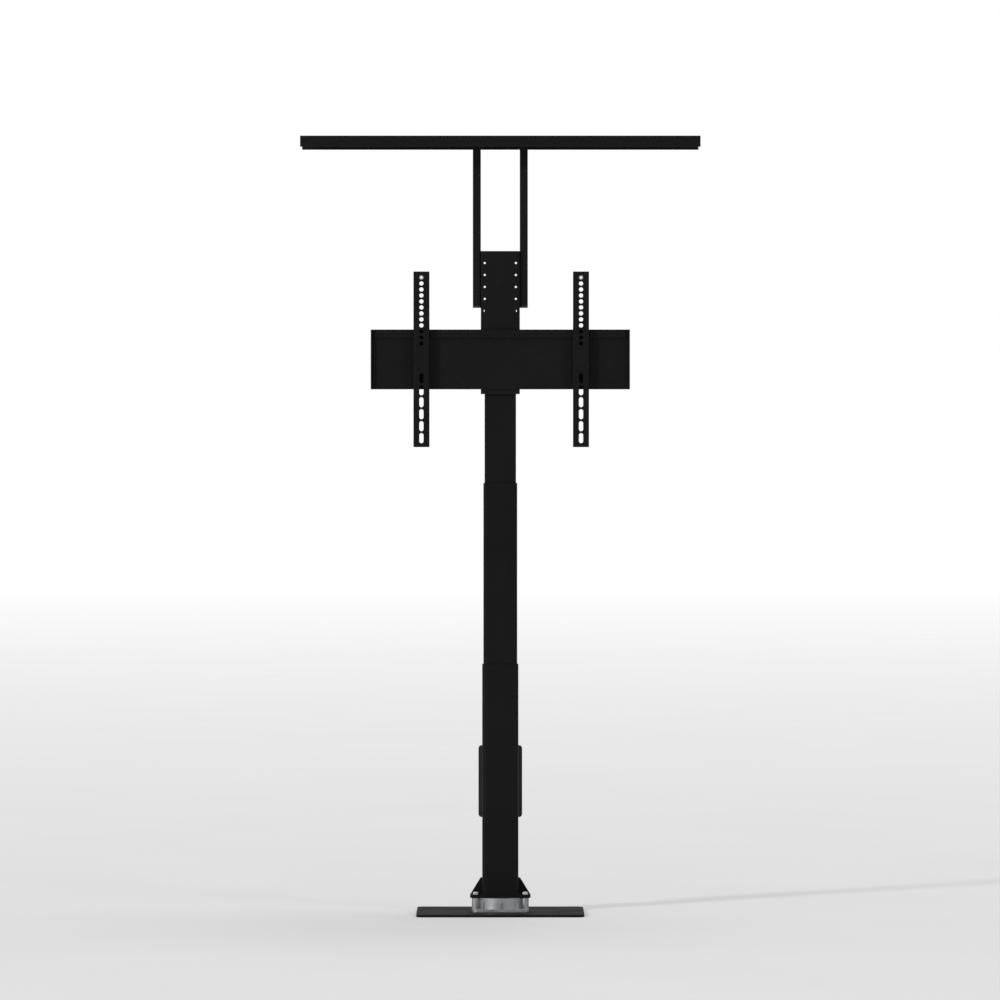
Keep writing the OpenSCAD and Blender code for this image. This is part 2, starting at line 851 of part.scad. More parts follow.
module control_sockets() {
    color(dark_plastic) socket_places() difference() {
        union() {
            standing_block(socket_w - 2 * socket_fit, socket_d - 2 * socket_fit, socket_h);
            translate([0, 0, -socket_rim_t])
                standing_block(socket_w + 2 * socket_rim, socket_d + 2 * socket_rim, socket_rim_t);
        }
        translate([0, 0, -socket_rim_t - cut])
            standing_block(socket_w - 2 * socket_wall, socket_d - 2 * socket_wall, socket_depth + cut);
    }
}

// Drive

module drive_screw() {
    color(steel) difference() {
        union() {
            shaft_hole(bearing_bore - 2 * run_fit, gear_z0, screw_shoulder_z + cut);
            shaft_hole(screw_d, screw_shoulder_z, screw_top - screw_chamfer);
            translate([0, 0, screw_top - screw_chamfer])
                cylinder(d1 = screw_d, d2 = screw_d - 2 * screw_chamfer, h = screw_chamfer);
        }
        translate([screw_d / 2 - key_depth, -key_w / 2 - slide_gap, screw_shoulder_z + key_start])
            cube([key_depth + cut, key_w + 2 * slide_gap, screw_top]);
    }
}

module drive_gear() {
    color(steel) translate([0, 0, gear_z0]) linear_extrude(gear_face) difference() {
        gear_outline(gear_teeth);
        circle(d = bearing_bore - 2 * run_fit + 2 * seat_fit);
        for (i = [0 : web_holes - 1]) rotate(i * 360 / web_holes) translate([web_hole_ring, 0])
            circle(d = web_hole_d);
    }
}

module motor_pinion() {
    mesh_angle = 270 - 180 / pinion_teeth;
    color(steel) translate([0, motor_y, 0]) {
        translate([0, 0, gear_z0]) linear_extrude(gear_face) rotate(mesh_angle) gear_outline(pinion_teeth);
        shaft_hole(shaft_d, gear_z0 + gear_face, base_z0 + shaft_depth);
    }
}

// Middle stage

// Both sides of a tube at a height, with +x pointing inwards
module grub_places(w, z) {
    for (side = [0, 180]) rotate(side) translate([-w / 2, 0, z]) children();
}

// Holes for the two grub screws that hold a plug in a tube
module grub_holes(w, z) {
    grub_places(w, z) translate([-cut, 0, 0]) rod_x(m4 + 2 * run_fit, grub_len + 2 * cut);
}

// Block that fills a tube of the given outer size
module tube_block(w, d, r, z, h) {
    fit = tube_wall + seat_fit;
    translate([0, 0, z]) linear_extrude(h) rounded_rect(w - 2 * fit, d - 2 * fit, r - fit);
}

module mid_tube() {
    color(black_coat) difference() {
        translate([0, 0, mid_z0]) linear_extrude(mid_len) rect_ring(mid_w, mid_d, mid_r, tube_wall);
        grub_holes(mid_w, mid_z0 + plug_h / 2);
    }
}

module mid_plug() {
    color(dark_plastic) difference() {
        tube_block(mid_w, mid_d, mid_r, mid_z0, plug_h);
        shaft_hole(nut_d, mid_z0 - cut, mid_z0 + nut_h);
        shaft_hole(plug_hole_d, mid_z0, mid_bearing_z0 + cut);
        shaft_hole(mid_bearing_d, mid_bearing_z0, mid_z0 + plug_h + cut);
        grub_holes(mid_w, mid_z0 + plug_h / 2);
    }
}

module mid_plug_screws() {
    color(zinc) grub_places(mid_w, mid_z0 + plug_h / 2) rod_x(m4, grub_len);
}

module mid_nut() {
    color(bronze) translate([0, 0, mid_z0]) difference() {
        cylinder(d = nut_d - 2 * seat_fit, h = nut_h);
        shaft_hole(screw_d + 2 * run_fit, -cut, nut_h + cut);
    }
}

module mid_bearing() {
    color(steel) translate([0, 0, mid_bearing_z0])
        ball_bearing(mid_bearing_d, mid_bearing_bore, mid_bearing_h);
}

module mid_foot_glide() {
    foot_glide(mid_w, mid_d, mid_r, mid_z0);
}

module mid_glide() {
    mouth_glide(mid_w, mid_d, mid_r, mid_top);
}

module hollow_screw() {
    color(steel) difference() {
        union() {
            shaft_hole(mid_bearing_bore - 2 * run_fit, hollow_z0, hollow_shoulder_z + cut);
            shaft_hole(hollow_d, hollow_shoulder_z, hollow_top);
        }
        shaft_hole(hollow_bore, hollow_z0 - cut, hollow_top + cut);
    }
}

module screw_coupler() {
    key_root = screw_d / 2 - key_depth + slide_gap;
    color(bronze) translate([0, 0, hollow_z0]) {
        difference() {
            cylinder(d = hollow_bore - 2 * seat_fit, h = coupler_h);
            shaft_hole(screw_d + 2 * run_fit, -cut, coupler_h + cut);
        }
        translate([key_root, -key_w / 2, 0]) cube([screw_d / 2 + bore_gap / 2 - key_root, key_w, coupler_h]);
    }
}

// Top stage

module top_tube() {
    color(black_coat) difference() {
        translate([0, 0, top_z0]) linear_extrude(top_len) rect_ring(top_w, top_d, top_r, tube_wall);
        grub_holes(top_w, top_z0 + top_plug_h / 2);
    }
}

module top_plug() {
    color(dark_plastic) difference() {
        tube_block(top_w, top_d, top_r, top_z0, top_plug_h);
        shaft_hole(top_nut_d, top_z0 - cut, top_z0 + top_plug_h + cut);
        grub_holes(top_w, top_z0 + top_plug_h / 2);
    }
}

module top_plug_screws() {
    color(zinc) grub_places(top_w, top_z0 + top_plug_h / 2) rod_x(m4, grub_len);
}

module top_nut() {
    color(bronze) translate([0, 0, top_z0]) difference() {
        cylinder(d = top_nut_d - 2 * seat_fit, h = top_plug_h);
        shaft_hole(hollow_d + 2 * run_fit, -cut, top_plug_h + cut);
    }
}

module top_foot_glide() {
    foot_glide(top_w, top_d, top_r, top_z0);
}

// Middles of the screws that hold the saddle on the column
module saddle_screw_places() {
    translate([0, saddle_y]) corners(block_screw_x, block_screw_y) children();
}

module top_block() {
    color(cast_grey) difference() {
        tube_block(top_w, top_d, top_r, top_top - block_h, block_h);
        saddle_screw_places() shaft_hole(m6 + 2 * run_fit, top_top - block_h + block_floor, top_top + cut);
    }
}

// Carrier

// Inner face of the saddle at each post screw, with +x pointing outwards
module post_screw_places() {
    for (side = [0, 1], z = post_screw_z) mirror([side, 0, 0])
        translate([saddle_w / 2 - saddle_t, post_y, z]) children();
}

// Holes for the post screws, through the saddle and the bracket
module post_screw_holes() {
    post_screw_places() translate([-cut, 0, 0]) rod_x(m6 + 2 * bolt_gap, post_seat + 2 * cut);
}

module head_saddle() {
    color(black_coat) difference() {
        translate([0, saddle_front, top_top]) upright(saddle_back - saddle_front)
            channel(saddle_w, saddle_h, saddle_t, bend_r);
        saddle_screw_places() shaft_hole(m6 + 2 * bolt_gap, top_top - cut, top_top + saddle_t + cut);
        post_screw_holes();
    }
}

module saddle_screws() {
    color(zinc) saddle_screw_places() {
        shaft_hole(m6, top_top - block_h + block_floor + cut, top_top + saddle_t);
        translate([0, 0, top_top + saddle_t]) socket_head(head_d, head_h);
    }
}

// Face of the panel at each of its screws, with +z pointing forwards
module panel_screw_places() {
    translate([0, panel_face, panel_z0 + panel_h / 2]) rotate([90, 0, 0])
        corners(panel_screw_x, panel_screw_z) children();
}

module carrier_bracket() {
    color(black_coat) difference() {
        translate([0, bracket_face, bracket_z0]) linear_extrude(bracket_h)
            channel(bracket_w, bracket_d, sheet_t, bend_r);
        for (x = [-1, 1], i = [1 : row_count])
            translate([x * row_x, bracket_face - cut, bracket_top - i * row_pitch])
                rod_y(row_d, sheet_t + 2 * cut);
        post_screw_holes();
        panel_screw_places() shaft_hole(m6 + 2 * run_fit, -2 * sheet_t - cut, -sheet_t + cut);
    }
}

module mount_panel() {
    color(black_coat) difference() {
        translate([0, bracket_face, panel_z0]) linear_extrude(panel_h) mirror([0, 1])
            channel(panel_w, sheet_t + panel_lip, sheet_t, bend_r);
        panel_screw_places() {
            shaft_hole(m6 + 2 * bolt_gap, -sheet_t - cut, cut);
            countersink(sheet_t, bolt_gap / 2);
        }
    }
}

module hook_rail() {
    color(black_coat) translate([-rail_len / 2, rail_face, panel_top - rail_h])
        cube([rail_len, rail_t, rail_h]);
}

// Heads filled flush and coated over, so that no socket shows
module panel_screws() {
    color(black_coat) panel_screw_places() countersunk_screw(sheet_t, 2 * sheet_t);
}

// Posts and tray

// A post on one side, -1 for left and 1 for right
module post(side) {
    color(black_coat) difference() {
        translate([side * post_x, post_y, post_tube_z0]) linear_extrude(post_top - post_tube_z0)
            rect_ring(post_w, post_d, post_r, post_wall);
        post_screw_places() translate([post_seat - cut, 0, 0])
            rod_x(post_nut_d + 2 * seat_fit, post_wall + 2 * cut);
    }
}

module left_post() {
    post(-1);
}

module right_post() {
    post(1);
}

module post_end_plugs() {
    inner = post_wall + seat_fit;
    color(dark_plastic) for (x = [-1, 1]) translate([x * post_x, post_y, post_z0]) {
        linear_extrude(plug_lip) rounded_rect(post_w, post_d, post_r);
        linear_extrude(plug_lip + plug_reach)
            rounded_rect(post_w - 2 * inner, post_d - 2 * inner, post_r - inner);
    }
}

module post_screws() {
    color(black_coat) post_screw_places() {
        rod_x(m6, post_seat + post_nut_len + post_screw_tail);
        rotate([0, -90, 0]) socket_head(head_d, head_h);
    }
}

// Rivet nuts in the inner walls of the posts, each with a collar behind the wall
module post_nuts() {
    color(zinc) post_screw_places() translate([post_seat, 0, 0]) difference() {
        union() {
            rod_x(post_nut_d, post_nut_len);
            translate([post_wall + seat_fit, 0, 0]) rod_x(post_nut_collar_d, post_nut_collar_t);
        }
        translate([-cut, 0, 0]) rod_x(m6 + 2 * run_fit, post_nut_len + 2 * cut);
    }
}

// Top face of the tray at each screw that holds it on the posts
module tray_screw_places() {
    for (x = [-1, 1]) translate([x * post_x, post_y, tray_top])
        for (y = [-1, 1]) translate([0, y * tray_screw_y]) children();
}

module post_pads() {
    color(black_coat) difference() {
        for (x = [-1, 1]) translate([x * post_x, post_y, post_top]) linear_extrude(pad_t)
            rounded_rect(pad_w, pad_d, pad_r);
        tray_screw_places() shaft_hole(m6 + 2 * run_fit, -tray_t - pad_t - cut, 0);
    }
}

// Bent sheet, open at its ends
module top_tray() {
    color(black_coat) difference() {
        translate([0, tray_y, tray_top]) difference() {
            rotate([-90, 0, 90]) linear_extrude(tray_w, center = true)
                channel(tray_d, tray_h, tray_t, bend_r);
            for (x = tray_hole_x) corners(x, tray_hole_y) shaft_hole(tray_hole_d, -tray_t - cut, cut);
        }
        tray_screw_places() {
            shaft_hole(m6 + 2 * bolt_gap, -tray_t - cut, cut);
            countersink(tray_t, bolt_gap / 2);
        }
    }
}

module tray_screws() {
    color(zinc) tray_screw_places() difference() {
        countersunk_screw(tray_t, tray_t + pad_t + tray_screw_tail);
        translate([0, 0, -csk_socket_depth]) cylinder(d = csk_socket_d, h = csk_socket_depth + cut, $fn = 6);
    }
}

// Screen arms

// Moves children to the hole line of one arm, -1 for left and 1 for right
module at_arm(side) {
    translate([arm_shift + side * arm_spacing / 2, 0, 0]) children();
}

// Holes and slots of an arm's face, drawn flat with y as the height above the arm's lower end
module arm_cutouts() {
    for (i = [1 : arm_holes]) translate([0, arm_len - i * arm_hole_pitch]) circle(d = arm_hole_d);
    for (i = [0 : arm_slots - 1]) translate([0, arm_slot_end + arm_slot_len / 2 + i * arm_slot_pitch])
        upright_slot(arm_slot_len, arm_hole_d);
}

// Side view of the hook that reaches over the rail, drawn with x as depth and y as height
module hook_outline() {
    root_x = arm_back - arm_d / 2;
    root_y = hook_seat - 2 * hook_reach;
    tip_y = hook_seat - hook_reach;
    top_y = hook_seat + hook_rise;
    polygon([
        [root_x, root_y], [arm_back, root_y], [arm_back, hook_seat], [hook_gap_back, hook_seat],
        [hook_gap_back, tip_y], [hook_back, tip_y], [hook_back, top_y - hook_corner],
        [hook_back - hook_corner, top_y], [root_x, top_y]
    ]);
}

module screen_arm(side) {
    color(black_coat) at_arm(side) difference() {
        union() {
            translate([0, arm_face, arm_z0]) linear_extrude(arm_len) channel(arm_w, arm_d, arm_t, arm_bend_r);
            for (x = [-arm_w / 2, arm_w / 2 - arm_t]) translate([x, 0, 0])
                rotate([90, 0, 90]) linear_extrude(arm_t) hook_outline();
        }
        translate([0, arm_face - cut, arm_z0]) upright(arm_t + 2 * cut) arm_cutouts();
    }
}

module lock_bar(side) {
    bar_w = arm_w - 2 * (arm_t + seat_fit);
    color(black_coat) at_arm(side) translate([0, hook_back - lock_bar_t, lock_z]) difference() {
        translate([-bar_w / 2, 0, -lock_bar_down]) cube([bar_w, lock_bar_t, lock_bar_down + lock_bar_up]);
        translate([0, -cut, 0]) rod_y(m6 + 2 * run_fit, lock_bar_t + 2 * cut);
    }
}

module lock_screw(side) {
    knob_y = hook_back + knob_gap;
    color(dark_plastic) at_arm(side) translate([0, 0, lock_z]) {
        translate([0, hook_gap_back, 0]) rod_y(m6, knob_y - hook_gap_back);
        translate([0, knob_y, 0]) upright(knob_h) difference() {
            circle(d = knob_d);
            for (i = [0 : knob_flutes - 1]) rotate(i * 360 / knob_flutes)
                translate([knob_flute_ring, 0]) circle(d = knob_flute_d);
        }
    }
}

module arm_insert(side) {
    color(zinc) at_arm(side) translate([0, arm_face, arm_top - arm_hole_pitch]) difference() {
        union() {
            rod_y(arm_hole_d - 2 * seat_fit, insert_len);
            translate([0, arm_t, 0]) rod_y(arm_hole_d + 2 * insert_flange, insert_flange_t);
        }
        translate([0, -cut, 0]) rod_y(insert_bore, insert_len + 2 * cut);
    }
}

module left_arm() {
    screen_arm(-1);
}

module left_lock_bar() {
    lock_bar(-1);
}

module left_lock_screw() {
    lock_screw(-1);
}

module left_arm_insert() {
    arm_insert(-1);
}

module right_arm() {
    screen_arm(1);
}

module right_lock_bar() {
    lock_bar(1);
}

module right_lock_screw() {
    lock_screw(1);
}

module right_arm_insert() {
    arm_insert(1);
}

base_plate();
drive_housing();
housing_cover();
column_foot();
foot_bolts();
base_tube();
base_glide();
lower_bearing();
motor_can();
motor_cap();
motor_screws();
control_box_tray();
control_board();
control_box_cover();
control_box_screws();
control_sockets();
drive_screw();
drive_gear();
motor_pinion();
mid_tube();
mid_plug();
mid_plug_screws();
mid_nut();
mid_bearing();
mid_foot_glide();
mid_glide();
hollow_screw();
screw_coupler();
top_tube();
top_plug();
top_plug_screws();
top_nut();
top_foot_glide();
top_block();
head_saddle();
saddle_screws();
carrier_bracket();
mount_panel();
hook_rail();
panel_screws();
left_post();
right_post();
post_end_plugs();
post_screws();
post_nuts();
post_pads();
top_tray();
tray_screws();
left_arm();
left_lock_bar();
left_lock_screw();
left_arm_insert();
right_arm();
right_lock_bar();
right_lock_screw();
right_arm_insert();
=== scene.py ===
"""Finishes and fine detail of a motorised screen lift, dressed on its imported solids.

Lengths are in metres, and the front faces -Y.
"""

import json
import math

import bmesh
import bpy
from mathutils import Matrix, Vector


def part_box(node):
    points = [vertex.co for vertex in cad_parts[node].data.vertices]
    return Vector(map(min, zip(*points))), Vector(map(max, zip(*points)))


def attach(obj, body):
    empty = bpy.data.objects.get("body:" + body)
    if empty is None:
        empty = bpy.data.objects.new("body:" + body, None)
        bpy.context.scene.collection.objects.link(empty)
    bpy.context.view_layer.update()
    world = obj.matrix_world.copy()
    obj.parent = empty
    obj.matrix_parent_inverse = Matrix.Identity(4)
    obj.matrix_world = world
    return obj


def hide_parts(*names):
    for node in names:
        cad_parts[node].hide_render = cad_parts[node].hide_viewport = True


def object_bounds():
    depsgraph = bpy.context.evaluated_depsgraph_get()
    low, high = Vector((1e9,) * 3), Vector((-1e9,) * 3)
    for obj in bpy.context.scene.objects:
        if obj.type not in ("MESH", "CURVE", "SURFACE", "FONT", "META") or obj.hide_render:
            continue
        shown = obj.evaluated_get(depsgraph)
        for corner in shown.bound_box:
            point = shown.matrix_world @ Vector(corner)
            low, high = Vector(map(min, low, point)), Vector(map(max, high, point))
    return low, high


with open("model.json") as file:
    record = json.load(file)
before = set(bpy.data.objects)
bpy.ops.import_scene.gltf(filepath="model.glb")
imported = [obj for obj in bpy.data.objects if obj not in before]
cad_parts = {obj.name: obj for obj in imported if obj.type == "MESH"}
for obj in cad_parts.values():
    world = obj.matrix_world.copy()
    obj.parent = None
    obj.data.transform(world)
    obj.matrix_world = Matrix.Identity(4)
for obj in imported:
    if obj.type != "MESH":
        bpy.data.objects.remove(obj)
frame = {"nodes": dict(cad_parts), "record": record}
cad_low, cad_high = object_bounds()
scene = bpy.context.scene
NODES = frame["nodes"]
SLOT_OF = {part["node"]: part["material_slot"] for part in frame["record"]["subparts"]}
MM = 0.001
MERGE = 0.001 * MM
SHARP_ANGLE = math.radians(32)

# Camera: a long lens far in front, a little above the middle of the lift and tipped down slightly
PHOTO_PX = 1000
PX_SIZE = 2.5058 * MM
LIFT_MIDDLE_PX = 500.31
CAMERA_DISTANCE = 17.556
CAMERA_HEIGHT = 1.190
AIM_HEIGHT = 1.040
SENSOR_WIDTH = 36.0
FARTHEST = 400


def add_camera():
    front_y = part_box("left_arm")[0].y
    data = bpy.data.cameras.new("photo_camera")
    data.sensor_width = SENSOR_WIDTH
    data.lens = SENSOR_WIDTH * CAMERA_DISTANCE / (PHOTO_PX * PX_SIZE)
    data.clip_end = FARTHEST
    camera = bpy.data.objects.new("photo_camera", data)
    scene.collection.objects.link(camera)
    across = (PHOTO_PX / 2 - LIFT_MIDDLE_PX) * PX_SIZE
    camera.location = (across, front_y - CAMERA_DISTANCE, CAMERA_HEIGHT)
    aim = Vector((across, front_y, AIM_HEIGHT))
    camera.rotation_euler = (aim - camera.location).to_track_quat("-Z", "Y").to_euler()
    scene.camera = camera


# Studio: white surroundings and three broad distant lights, given by where they stand and how wide they look
SURROUND_LIGHT = 0.40
SURROUND_SEEN = 1.0
STUDIO_LIGHTS = {
    "key_light": {"from": (-1.06, -1.0, 0.52), "width": 6, "strength": 1.27},
    "fill_light": {"from": (1.0, -0.95, 0.4), "width": 12, "strength": 0.36},
    "top_light": {"from": (0.25, 0.45, 1.6), "width": 40, "strength": 1.25},
}
FLOOR_RADIUS = 120
FLOOR_SIDES = 96
FLOOR_DROP = 0.1 * MM
FLOOR_FADE = (0.5, 40.0)
FLOOR_GLOW = 0.28


def light_surroundings():
    world = bpy.data.worlds.new("studio")
    scene.world = world
    world.use_nodes = True
    nodes, links = world.node_tree.nodes, world.node_tree.links
    lighting = nodes["Background"]
    lighting.inputs["Strength"].default_value = SURROUND_LIGHT
    seen = nodes.new("ShaderNodeBackground")
    seen.inputs["Strength"].default_value = SURROUND_SEEN
    for background in (lighting, seen):
        background.inputs["Color"].default_value = (1, 1, 1, 1)
    choose = nodes.new("ShaderNodeMixShader")
    links.new(nodes.new("ShaderNodeLightPath").outputs["Is Camera Ray"], choose.inputs["Fac"])
    links.new(lighting.outputs["Background"], choose.inputs[1])
    links.new(seen.outputs["Background"], choose.inputs[2])
    links.new(choose.outputs["Shader"], nodes["World Output"].inputs["Surface"])


def add_lights():
    for name, light in STUDIO_LIGHTS.items():
        data = bpy.data.lights.new(name, "SUN")
        data.angle = math.radians(light["width"])
        data.energy = light["strength"]
        lamp = bpy.data.objects.new(name, data)
        scene.collection.objects.link(lamp)
        lamp.rotation_euler = Vector(light["from"]).to_track_quat("Z", "Y").to_euler()


def add_floor(material):
    mesh = bmesh.new()
    bmesh.ops.create_circle(mesh, cap_ends=True, radius=FLOOR_RADIUS, segments=FLOOR_SIDES)
    data = bpy.data.meshes.new("studio_floor")
    mesh.to_mesh(data)
    mesh.free()
    floor = bpy.data.objects.new("studio_floor", data)
    floor.location.z = cad_low.z - FLOOR_DROP
    data.materials.append(material)
    scene.collection.objects.link(floor)


# Finishes

EDGE_SAMPLES = 4
EDGE_FACING = (0.75, 0.99)


class Finish:
    """A procedural material in the piece's own space, built one texture at a time."""

    def __init__(self, name, metallic=0.0, specular=0.5):
        self.material = bpy.data.materials.new(name)
        self.material.use_nodes = True
        self.nodes = self.material.node_tree.nodes
        self.links = self.material.node_tree.links
        self.shader = self.nodes["Principled BSDF"]
        self.shader.inputs["Metallic"].default_value = metallic
        self.shader.inputs["Specular IOR Level"].default_value = specular
        self.place = self.nodes.new("ShaderNodeTexCoord").outputs["Object"]
        self.normal = None

    def feed(self, socket, value):
        """Links a texture to a socket, or sets a plain value on it."""
        if isinstance(value, bpy.types.NodeSocket):
            self.links.new(value, socket)
        else:
            socket.default_value = value

    def texture(self, kind, size, stretch):
        node = self.nodes.new(kind)
        node.inputs["Scale"].default_value = 1 / size
        mapping = self.nodes.new("ShaderNodeMapping")
        mapping.inputs["Scale"].default_value = stretch
        self.links.new(self.place, mapping.inputs["Vector"])
        self.links.new(mapping.outputs["Vector"], node.inputs["Vector"])
        return node

    def noise(self, size, detail=2.0, stretch=(1, 1, 1)):
        """Cloudy pattern from 0 to 1, with features about one size across."""
        node = self.texture("ShaderNodeTexNoise", size, stretch)
        node.inputs["Detail"].default_value = detail
        return node.outputs["Fac"]

    def cells(self, size, stretch=(1, 1, 1)):
        """Pattern of grains, dark in the middle of each."""
        return self.texture("ShaderNodeTexVoronoi", size, stretch).outputs["Distance"]

    def span(self, pattern, low, high, start=0.3, end=0.7):
        """Spreads a pattern over a range of values."""
        node = self.nodes.new("ShaderNodeMapRange")
        self.links.new(pattern, node.inputs["Value"])
        for name, value in {"From Min": start, "From Max": end, "To Min": low, "To Max": high}.items():
            node.inputs[name].default_value = value
        return node.outputs["Result"]

    def times(self, first, second):
        node = self.nodes.new("ShaderNodeMath")
        node.operation = "MULTIPLY"
        self.feed(node.inputs[0], first)
        self.feed(node.inputs[1], second)
        return node.outputs["Value"]

    def blend(self, pattern, first, second):
        """Mixes two colours by a pattern."""
        node = self.nodes.new("ShaderNodeMix")
        node.data_type = "RGBA"
        self.feed(node.inputs["Factor"], pattern)
        for socket, colour in zip((node.inputs[6], node.inputs[7]), (first, second)):
            self.feed(socket, (*colour, 1) if isinstance(colour, tuple) else colour)
        return node.outputs[2]

    def edges(self, radius):
        """Softens edges under later bumps, and gives a pattern that is 1 along them and 0 on flat faces."""
        bevel = self.nodes.new("ShaderNodeBevel")
        bevel.samples = EDGE_SAMPLES
        bevel.inputs["Radius"].default_value = radius
        self.normal = bevel.outputs["Normal"]
        facing = self.nodes.new("ShaderNodeVectorMath")
        facing.operation = "DOT_PRODUCT"
        self.links.new(bevel.outputs["Normal"], facing.inputs[0])
        self.links.new(self.nodes.new("ShaderNodeNewGeometry").outputs["Normal"], facing.inputs[1])
        return self.span(facing.outputs["Value"], 1, 0, *EDGE_FACING)

    def colour(self, value):
        self.feed(self.shader.inputs["Base Color"], (*value, 1) if isinstance(value, tuple) else value)

    def roughness(self, value):
        self.feed(self.shader.inputs["Roughness"], value)

    def bump(self, pattern, depth):
        """Raises the surface by a pattern, on top of earlier bumps."""
        node = self.nodes.new("ShaderNodeBump")
        node.inputs["Distance"].default_value = depth
        self.links.new(pattern, node.inputs["Height"])
        if self.normal:
            self.links.new(self.normal, node.inputs["Normal"])
        self.normal = node.outputs["Normal"]
        self.links.new(self.normal, self.shader.inputs["Normal"])


def grey(level):
    return (level, level, level)


def powder_coat():
    """Fine textured black powder coat, a little lighter along its edges: partly rubbed wear and partly a
    painted highlight.
    """
    finish = Finish("powder_black", specular=0.07)
    broad = finish.noise(110 * MM, detail=4)
    grain = finish.noise(1.1 * MM, detail=3)
    coat = finish.blend(finish.span(broad, 0, 1), grey(0.0042), grey(0.0058))
    grained = finish.blend(finish.span(grain, 0, 0.6, 0.40, 0.66), coat, grey(0.016))
    # Lighter patches along the edges: partly rubbed wear, partly painted highlight.
    wear_and_highlight = finish.times(finish.edges(0.5 * MM), finish.span(finish.noise(14 * MM, detail=5), 0.1, 0.4))
    finish.colour(finish.blend(wear_and_highlight, grained, grey(0.026)))
    finish.roughness(finish.span(broad, 0.46, 0.60))
    finish.bump(finish.noise(4 * MM), 0.05 * MM)
    finish.bump(grain, 0.10 * MM)
    return finish.material


def tube_coat():
    """Smoother coat of the sliding tubes, with faint upright lines left by the glides."""
    finish = Finish("tube_black", specular=0.08)
    lines = finish.noise(1.6 * MM, detail=4, stretch=(1, 1, 0.004))
    broad = finish.noise(140 * MM, detail=3)
    coat = finish.blend(finish.span(broad, 0, 1), grey(0.0055), grey(0.0072))
    lined = finish.blend(finish.span(lines, 0, 0.35, 0.55, 0.75), coat, grey(0.011))
    # Every edge a little lighter: painted highlight along the edges.
    finish.colour(finish.blend(finish.times(finish.edges(0.5 * MM), 0.3), lined, grey(0.024)))
    finish.roughness(finish.span(lines, 0.40, 0.56))
    finish.bump(finish.noise(3 * MM), 0.03 * MM)
    finish.bump(lines, 0.015 * MM)
    return finish.material


def black_oxide():
    finish = Finish("oxide_black", metallic=0.6, specular=0.35)
    stain = finish.noise(5 * MM, detail=5)
    coat = finish.blend(finish.span(stain, 0, 1), (0.012, 0.012, 0.014), (0.030, 0.029, 0.028))
    worn = finish.times(finish.edges(0.3 * MM), finish.span(stain, 0.1, 0.7))
    finish.colour(finish.blend(worn, coat, grey(0.16)))
    finish.roughness(finish.span(stain, 0.36, 0.55))
    finish.bump(finish.noise(0.5 * MM), 0.02 * MM)
    return finish.material


def motor_lacquer():
    finish = Finish("lacquer_black", specular=0.4)
    broad = finish.noise(40 * MM, detail=4)
    coat = finish.blend(finish.span(broad, 0, 1), grey(0.015), grey(0.022))
    worn = finish.times(finish.edges(0.5 * MM), finish.span(finish.noise(9 * MM, detail=5), 0, 0.6))
    finish.colour(finish.blend(worn, coat, grey(0.11)))
    finish.roughness(finish.span(broad, 0.30, 0.42))
    finish.bump(finish.noise(6 * MM), 0.06 * MM)
    return finish.material


def moulded_plastic():
    """Black moulding with a spark-eroded grain."""
    finish = Finish("grain_black", specular=0.35)
    grain = finish.cells(0.9 * MM)
    broad = finish.noise(60 * MM, detail=3)
    skin = finish.blend(finish.span(broad, 0, 1), grey(0.013), grey(0.018))
    # Every edge a little lighter: painted highlight along the edges.
    finish.colour(finish.blend(finish.times(finish.edges(0.5 * MM), 0.3), skin, grey(0.035)))
    finish.roughness(finish.span(broad, 0.48, 0.60))
    finish.bump(grain, 0.05 * MM)
    finish.bump(finish.noise(0.4 * MM), 0.02 * MM)
    return finish.material


def nylon():
    finish = Finish("nylon", specular=0.45)
    broad = finish.noise(18 * MM, detail=3)
    finish.colour(finish.blend(finish.span(broad, 0, 1), (0.60, 0.58, 0.51), (0.71, 0.70, 0.64)))
    finish.roughness(finish.span(finish.noise(3 * MM), 0.38, 0.52))
    finish.bump(finish.noise(1.2 * MM), 0.02 * MM)
    return finish.material


def cast_aluminium():
    """Bead-blasted die casting with darker pores."""
    finish = Finish("cast_aluminium", metallic=1.0)
    skin = finish.noise(1.3 * MM, detail=4)
    broad = finish.noise(35 * MM, detail=4)
    metal = finish.blend(finish.span(broad, 0, 1), (0.36, 0.37, 0.38), (0.46, 0.47, 0.48))
    pores = finish.span(skin, 0.35, 0, 0.30, 0.42)
    porous = finish.blend(pores, metal, grey(0.16))
    finish.colour(finish.blend(finish.times(finish.edges(0.9 * MM), 0.35), porous, grey(0.60)))
    finish.roughness(finish.span(broad, 0.46, 0.62))
    finish.bump(skin, 0.10 * MM)
    finish.bump(finish.noise(8 * MM), 0.10 * MM)
    return finish.material


def zinc_plate():
    finish = Finish("zinc_plate", metallic=1.0)
    spangle = finish.cells(2.2 * MM)
    stain = finish.noise(7 * MM, detail=4)
    plate = finish.blend(finish.span(stain, 0, 1), (0.46, 0.48, 0.50), (0.62, 0.62, 0.61))
    finish.colour(finish.blend(finish.times(finish.edges(0.2 * MM), 0.4), plate, grey(0.75)))
    finish.roughness(finish.span(spangle, 0.24, 0.42, 0.1, 0.6))
    finish.bump(finish.noise(0.8 * MM), 0.02 * MM)
    return finish.material


def ground_steel():
    """Steel with fine lines round each shaft."""
    finish = Finish("ground_steel", metallic=1.0)
    lines = finish.noise(2.5 * MM, detail=5, stretch=(0.05, 0.05, 6))
    oil = finish.noise(30 * MM, detail=3)
    metal = finish.blend(finish.span(lines, 0, 1), (0.30, 0.31, 0.32), (0.40, 0.41, 0.42))
    finish.colour(finish.blend(finish.span(oil, 0, 0.5), metal, (0.22, 0.21, 0.19)))
    finish.roughness(finish.span(lines, 0.24, 0.40))
    finish.bump(lines, 0.01 * MM)
    return finish.material


